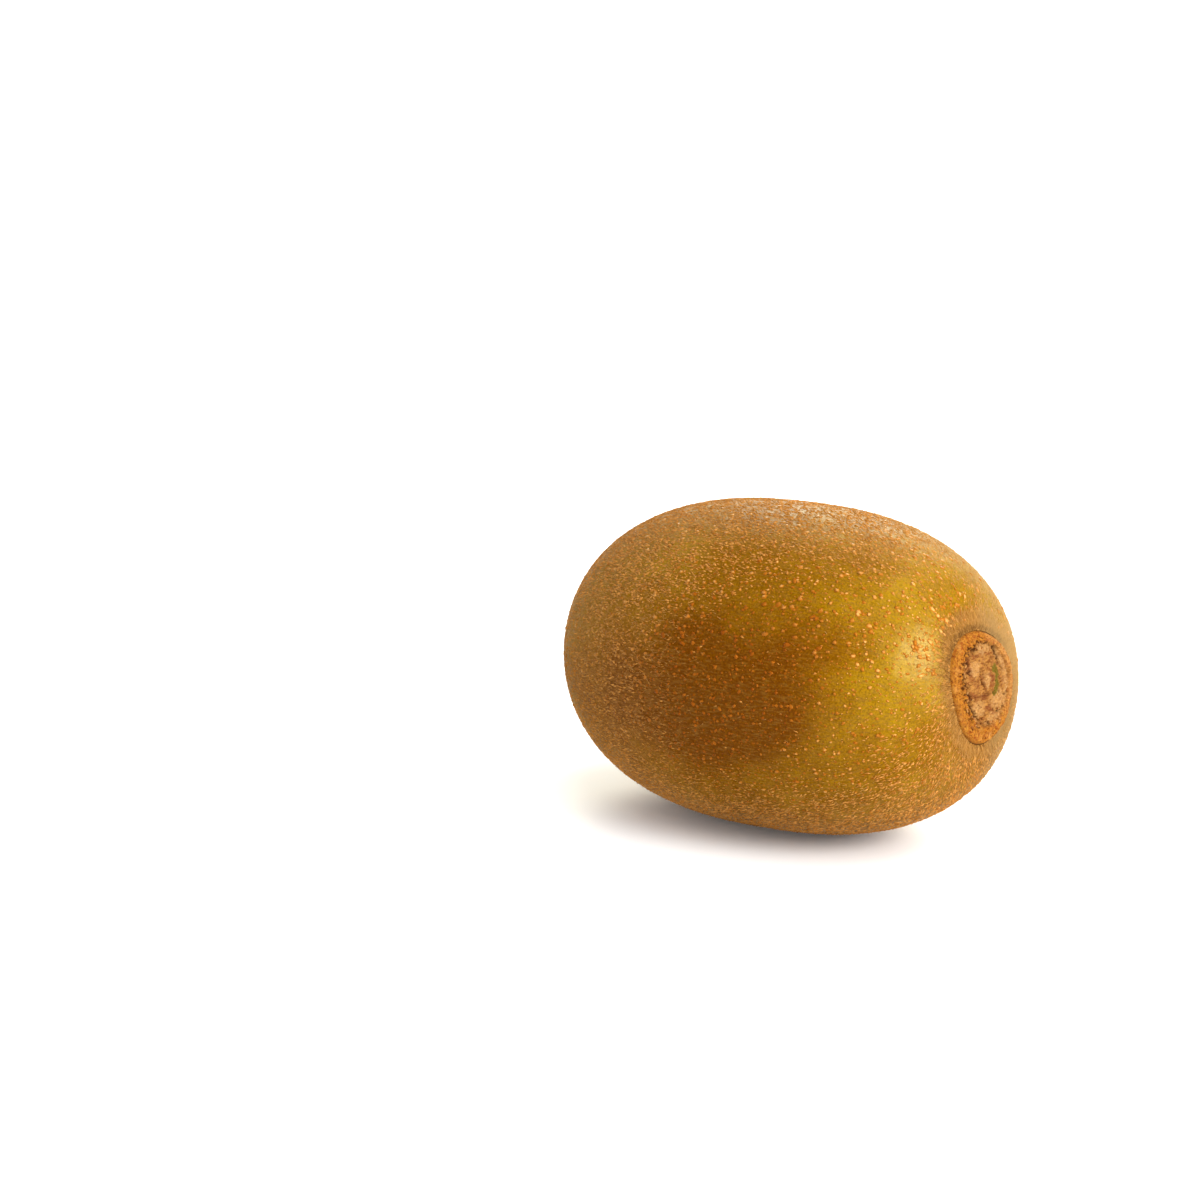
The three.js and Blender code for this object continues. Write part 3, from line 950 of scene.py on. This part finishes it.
def skin_material():
    """Olive-gold skin that turns brown, under a thin tan fuzz and flecks of cork; its brown flank is
    partly painted shade.
    """
    graph = Graph("kiwi_skin", gloss=1.0, glint=(255, 240, 180), sheen=0.35)
    place, fuzz = graph.place(), graph.attribute("fuzz")
    lengthwise = graph.scaled(graph.attribute("grain", "Vector"), (1, 1, 0.22))
    streaks = graph.noise(lengthwise, 0.32, 3, 0.6)
    patches = graph.between(graph.noise(place, 14, 2), 0.35, 0.68)
    uneven = graph.between(graph.noise(place, 11, 3), 0.3, 0.7, -0.12, 0.12)
    mottle = graph.between(graph.noise(place, 3.2, 4), 0.3, 0.72)
    fine = graph.noise(place, 0.3, 2, 0.6)
    brown = graph.between(graph.plus(graph.attribute("brown"), uneven), 0.0, 1.0)
    downy = graph.blend((154, 118, 62), (146, 94, 36), graph.between(brown, 0.0, 0.5))
    down = graph.times(graph.between(streaks, 0.38, 0.66), graph.between(fuzz, 0.0, 1.0, 0.1, 0.75))
    light = graph.times(graph.between(fine, 0.5, 0.36), graph.between(brown, 0.0, 1.0, 0.35, 0.12))
    flecks = graph.between(graph.dots(place, 0.95), 0.16, 0.3, 1.0, 0.0)
    flecks = graph.times(flecks, graph.between(graph.dots(place, 0.95, "Color"), 0.35, 0.5))
    tip = graph.plus(graph.attribute("from_tip"), graph.times(uneven, 12.0))
    halo = graph.plus(graph.attribute("halo"), graph.between(streaks, 0.35, 0.65, -0.3, 0.3))
    # tan of the downy halo by the scar, darkened on the far side with painted shade of the fuzz
    halo_tan_and_shade = graph.blend((161, 112, 41), (128, 97, 56), graph.attribute("far"))
    base = graph.paint(
        (146, 111, 2),  # gold
        ((135, 96, 0), patches),
        # browner towards the flank: partly the skin's own colour and partly painted shade
        ((122, 80, 0), graph.between(brown, 0.0, 0.5)),
        ((98, 50, 0), graph.between(brown, 0.4, 1.0)),
        ((98, 56, 0), graph.times(mottle, 0.35)),
        ((92, 58, 0), graph.between(streaks, 0.5, 0.68, 0.0, 0.4)),
        (downy, down),
        ((70, 40, 0), graph.between(fine, 0.5, 0.66, 0.0, 0.35)),
        ((172, 120, 8), light),
        ((146, 76, 8), graph.times(flecks, 0.6)),
        ((158, 92, 36), graph.between(tip, 4.5, 8.5, 0.85, 0.0)),
        (halo_tan_and_shade, graph.between(halo, 0.1, 0.9, 0.0, 0.85)),
        # painted shade in the groove along the edge of the stem scar
        ((80, 44, 4), graph.between(graph.attribute("beside_scar"), 0.3, 0.85, 0.85, 0.0)),
    )
    roughness = graph.between(streaks, 0.3, 0.7, 0.24, 0.4)
    for source, more in ((brown, -0.08), (fuzz, 0.25), (graph.attribute("dull"), 0.3)):
        roughness = graph.plus(roughness, graph.times(source, more))
    height = graph.plus(graph.times(streaks, 0.5), flecks)
    height = graph.plus(height, graph.times(fine, 0.3))
    return graph.finish(base, roughness, graph.bump(height, 0.1, 0.5))


def lenticel_material():
    """Corky dots: rust on the brown skin, and tan on the gold with a painted cream highlight on each
    top.
    """
    graph = Graph("lenticel_cork", gloss=1.0, sheen=0.1)
    tone = graph.attribute("tone")
    grit = graph.noise(graph.place(), 0.18, 2)
    # a painted highlight in cream, laid on the top of each dot
    cream_highlight = graph.blend((166, 98, 20), (212, 158, 88), graph.between(tone, 0.2, 1.0))
    rust = graph.blend((126, 58, 2), (154, 84, 12), tone)
    tan = graph.blend((158, 104, 44), (184, 132, 70), tone)
    base = graph.paint(
        (146, 78, 8),
        ((166, 98, 18), tone),
        (cream_highlight, graph.between(graph.attribute("top"), 0.5, 1.0)),
        # rust where the skin is brown, which is partly painted shade
        (rust, graph.between(graph.attribute("brown"), 0.2, 0.9)),
        (tan, graph.between(graph.attribute("fuzz"), 0.1, 0.8, 0.0, 0.8)),
        ((96, 44, 4), graph.between(grit, 0.5, 0.7, 0.0, 0.35)),
    )
    return graph.finish(base, graph.between(grit, 0.3, 0.7, 0.28, 0.5), graph.bump(grit, 0.06, 0.6))


def fuzz_material(name, dark, light):
    """Fine hairs whose colour differs a little from one to the next."""
    graph = Graph(name, gloss=0.4)
    tone = graph.attribute("tone")
    patches = graph.between(graph.noise(graph.place(), 5, 2), 0.5, 0.8, 0.0, 0.4)
    base = graph.paint(
        dark,
        (light, tone),
        (dark, patches),
        # darker where the skin is brown, which is partly painted shade
        ((112, 62, 10), graph.times(graph.attribute("brown"), 0.25)),
        ((164, 134, 86), graph.times(graph.attribute("far"), 0.6)),
    )
    return graph.finish(base, graph.between(tone, 0.0, 1.0, 0.45, 0.65))


def scar_material():
    """Granular orange-brown cork round torn tan tissue, with painted shade in its cracks."""
    graph = Graph("stem_scar_cork")
    place = graph.place()
    grit = graph.noise(place, 0.3, 4, 0.7)
    fibres = graph.noise(graph.scaled(place, (1, 0.3, 1)), 0.34, 4, 0.65)
    cork = graph.paint(
        (162, 100, 30),
        ((112, 56, 18), graph.between(grit, 0.46, 0.62)),
        ((178, 122, 60), graph.between(graph.noise(place, 1.7, 3), 0.5, 0.75, 0.0, 0.6)),
        ((180, 126, 48), graph.between(graph.noise(place, 0.7, 4), 0.54, 0.7, 0.0, 0.6)),
        ((128, 60, 18), graph.between(graph.noise(place, 0.8, 4), 0.54, 0.64, 0.0, 0.75)),
    )
    stain_and_shade = graph.times(graph.between(fibres, 0.3, 0.7, 0.6, 1.0), graph.attribute("stain_and_shade"))
    pale = graph.times(graph.attribute("pale"), graph.between(grit, 0.36, 0.56, 1.0, 0.3))
    leafy = graph.blend((92, 82, 14), (82, 62, 18), graph.between(grit, 0.4, 0.65))
    # painted shade in the cracks and crevices
    dark = graph.between(graph.attribute("crevice_shade"), 0.15, 0.8)
    base = graph.paint(
        (156, 106, 50),  # torn tissue
        ((108, 60, 24), graph.between(fibres, 0.42, 0.66)),
        ((120, 62, 32), graph.between(graph.noise(place, 0.9, 3), 0.5, 0.68, 0.0, 0.45)),
        # red-brown stain of the tissue, partly painted shade along its ledges and beside the stub
        ((112, 56, 28), graph.times(stain_and_shade, 0.85)),
        (cork, graph.attribute("cork")),
        ((180, 138, 86), graph.times(pale, 0.7)),
        (leafy, graph.between(graph.attribute("green"), 0.2, 0.75, 0.0, 0.85)),
        ((62, 26, 8), graph.times(dark, 0.85)),
    )
    height = graph.plus(grit, graph.times(fibres, 0.6))
    return graph.finish(base, graph.between(grit, 0.3, 0.7, 0.6, 0.85), graph.bump(height, 0.2, 0.9))


def flake_material():
    """Papery torn tissue."""
    graph = Graph("torn_tissue")
    grit = graph.noise(graph.place(), 0.2, 3)
    base = graph.paint(
        (130, 76, 32),
        ((176, 126, 72), graph.between(graph.attribute("tone"), 0.3, 1.0)),
        ((140, 84, 44), graph.between(grit, 0.5, 0.72, 0.0, 0.6)),
    )
    return graph.finish(base, graph.between(grit, 0.3, 0.7, 0.6, 0.8), graph.bump(grit, 0.06, 0.5))


def style_material():
    """Dry, almost black remains of the flower."""
    graph = Graph("dried_style")
    grit = graph.noise(graph.place(), 0.2, 3)
    base = graph.paint(
        (30, 18, 14),
        ((96, 62, 36), graph.between(graph.attribute("tone"), 0.2, 1.0)),
        ((20, 12, 10), graph.between(grit, 0.45, 0.7, 0.0, 0.7)),
    )
    return graph.finish(base, graph.between(grit, 0.3, 0.7, 0.6, 0.9), graph.bump(grit, 0.08, 0.6))


# ---- The stage: floor, light and camera ----

FRAME_PIXELS = 1200
FOCAL_PIXELS = 4100  # focal length in pixels of the frame
FRUIT_PIXEL = (786.7, 664.2)  # where the middle of the fruit falls in the frame
SENSOR_WIDTH = 36.0
NEAREST_SEEN = 0.01
CAMERA_TURN = math.radians(36.83)  # from the fruit's side towards its stem end
CAMERA_RISE = math.radians(15.63)
CAMERA_DISTANCE = 649.0
FLOOR_SIZE = 3000.0
FLOOR_GLOW = 0.05  # lightens the shadow a little
WORLD_STRENGTH = 0.74
KEY_SPREAD = math.radians(80)
SOFTBOX_SIZE = 230 * MM
BACK_SIZE = 450 * MM
BACK_TINT = (250, 250, 226)
# Directions that light comes from: to the camera's right, up, and towards the camera.
KEY_SIDE = (0.6, 0.9, 0.4)
SOFTBOX_SIDE = (0.67, 0.43, 0.6)
BACK_SIDE = (0.15, 0.5, -0.92)


def view_axes(turn, rise):
    right = np.array([math.cos(turn), math.sin(turn), 0])
    level = np.array([-math.sin(turn), math.cos(turn), 0])
    up = math.sin(rise) * level + [0, 0, math.cos(rise)]
    return right, up, np.cross(up, right)


def make_camera():
    right, up, ahead = view_axes(CAMERA_TURN, CAMERA_RISE)
    across, down = [(p - FRAME_PIXELS / 2) / FOCAL_PIXELS * CAMERA_DISTANCE for p in FRUIT_PIXEL]
    spot = PLACE - right * across + up * down - ahead * CAMERA_DISTANCE
    data = bpy.data.cameras.new("camera")
    data.sensor_width = SENSOR_WIDTH
    data.lens = SENSOR_WIDTH * FOCAL_PIXELS / FRAME_PIXELS
    data.clip_start = NEAREST_SEEN
    camera = new_object("camera", data)
    columns = np.stack([right, up, -ahead, spot * MM], -1)
    camera.matrix_world = Matrix([*columns, [0, 0, 0, 1]])
    bpy.context.scene.camera = camera


def make_floor():
    graph = Graph("white_floor")
    graph.set("Roughness", 0.9)
    graph.set("Emission Strength", FLOOR_GLOW)
    base = graph.blend((252, 252, 252), (249, 249, 249), graph.noise(graph.place(), 90, 2))
    corners = FLOOR_SIZE / 2 * np.array([(-1, -1, 0), (1, -1, 0), (1, 1, 0), (-1, 1, 0)])
    floor = make_object("floor", corners, [[0, 1, 2, 3]], graph.finish(base))
    floor.visible_glossy = False  # so that it doesn't show as a haze on the skin


def make_lamp(name, kind, power, side, distance=0.0, tint=(255, 255, 255), **settings):
    """A lamp that shines at the fruit from one side."""
    right, up, ahead = view_axes(CAMERA_TURN, 0)
    arm = unit(side[0] * right + side[1] * up - side[2] * ahead)
    data = bpy.data.lights.new(name, kind)
    data.energy = power
    data.color = colour(*tint)[:3]
    for key, value in settings.items():
        setattr(data, key, value)
    lamp = new_object(name, data)
    lamp.location = Vector(PLACE + distance * arm) * MM
    lamp.rotation_euler = Vector(-arm).to_track_quat("-Z", "Y").to_euler()
    return lamp


def make_world():
    """Even light from all round, which the camera sees as white as the floor."""
    world = bpy.data.worlds.new("studio")
    world.use_nodes = True
    tree = world.node_tree
    background = tree.nodes["Background"]
    background.inputs["Color"].default_value = (1, 1, 1, 1)
    seen = tree.nodes.new("ShaderNodeMix")
    seen.inputs["A"].default_value = WORLD_STRENGTH
    seen.inputs["B"].default_value = 1.0
    path = tree.nodes.new("ShaderNodeLightPath")
    tree.links.new(path.outputs["Is Camera Ray"], seen.inputs["Factor"])
    tree.links.new(seen.outputs["Result"], background.inputs["Strength"])
    world.cycles_visibility.glossy = False
    bpy.context.scene.world = world


def make_stage():
    make_floor()
    make_world()
    key = make_lamp("key", "SUN", 2.9, KEY_SIDE, angle=KEY_SPREAD)
    key.visible_glossy = False  # it lights the skin without a haze of reflections
    make_lamp("softbox", "AREA", 2.6, SOFTBOX_SIDE, 600, size=SOFTBOX_SIZE)
    sheen = make_lamp("sheen", "AREA", 2.9, SOFTBOX_SIDE, 590, size=SOFTBOX_SIZE)
    sheen.visible_diffuse = False  # it only shows as a reflection
    make_lamp("back", "AREA", 4.7, BACK_SIDE, 700, BACK_TINT, size=BACK_SIZE)
    bpy.context.scene.view_settings.view_transform = "Standard"
    bpy.context.scene.view_settings.look = "None"


# ---- The fruit ----

# Each kind's name, seed, number, where it grows, shape, range of lengths and of widths, how far its
# heading strays and how steeply it rises in radians, and its dark and its light colour.
KINDS_OF_FUZZ = [
    ("fuzz", 41, 50000, fuzz_cover, HAIR, (0.35, 0.8), (0.06, 0.1), 0.4, 0.3,
     (146, 102, 48), (196, 148, 90)),
    ("halo_hairs", 59, 7000, halo_cover, HAIR, (0.5, 1.2), (0.06, 0.1), 0.4, 0.25,
     (142, 96, 38), (204, 152, 82)),
    ("tip_hairs", 61, 9000, tip_cover, HAIR, (0.4, 1.0), (0.06, 0.1), 0.6, 0.4,
     (146, 80, 28), (206, 134, 66)),
    ("rim_hairs", 53, 1000, rim_cover, HAIR, (0.4, 0.9), (0.06, 0.1), 0.4, 0.5,
     (96, 62, 26), (166, 120, 62)),
    ("tufts_fine", 43, 30000, fuzz_cover, TUFT, (0.4, 0.8), (0.1, 0.16), 0.35, 0.1,
     (150, 96, 36), (190, 132, 66)),
    ("tufts_coarse", 47, 25000, tuft_cover, TUFT, (0.5, 1.0), (0.15, 0.28), 0.3, 0.1,
     (160, 100, 36), (208, 146, 76)),
]

make_skin()
make_lenticels()
make_scar()
make_flakes()
make_styles()
for kind in KINDS_OF_FUZZ:
    make_fuzz(*kind)
make_stage()
make_camera()
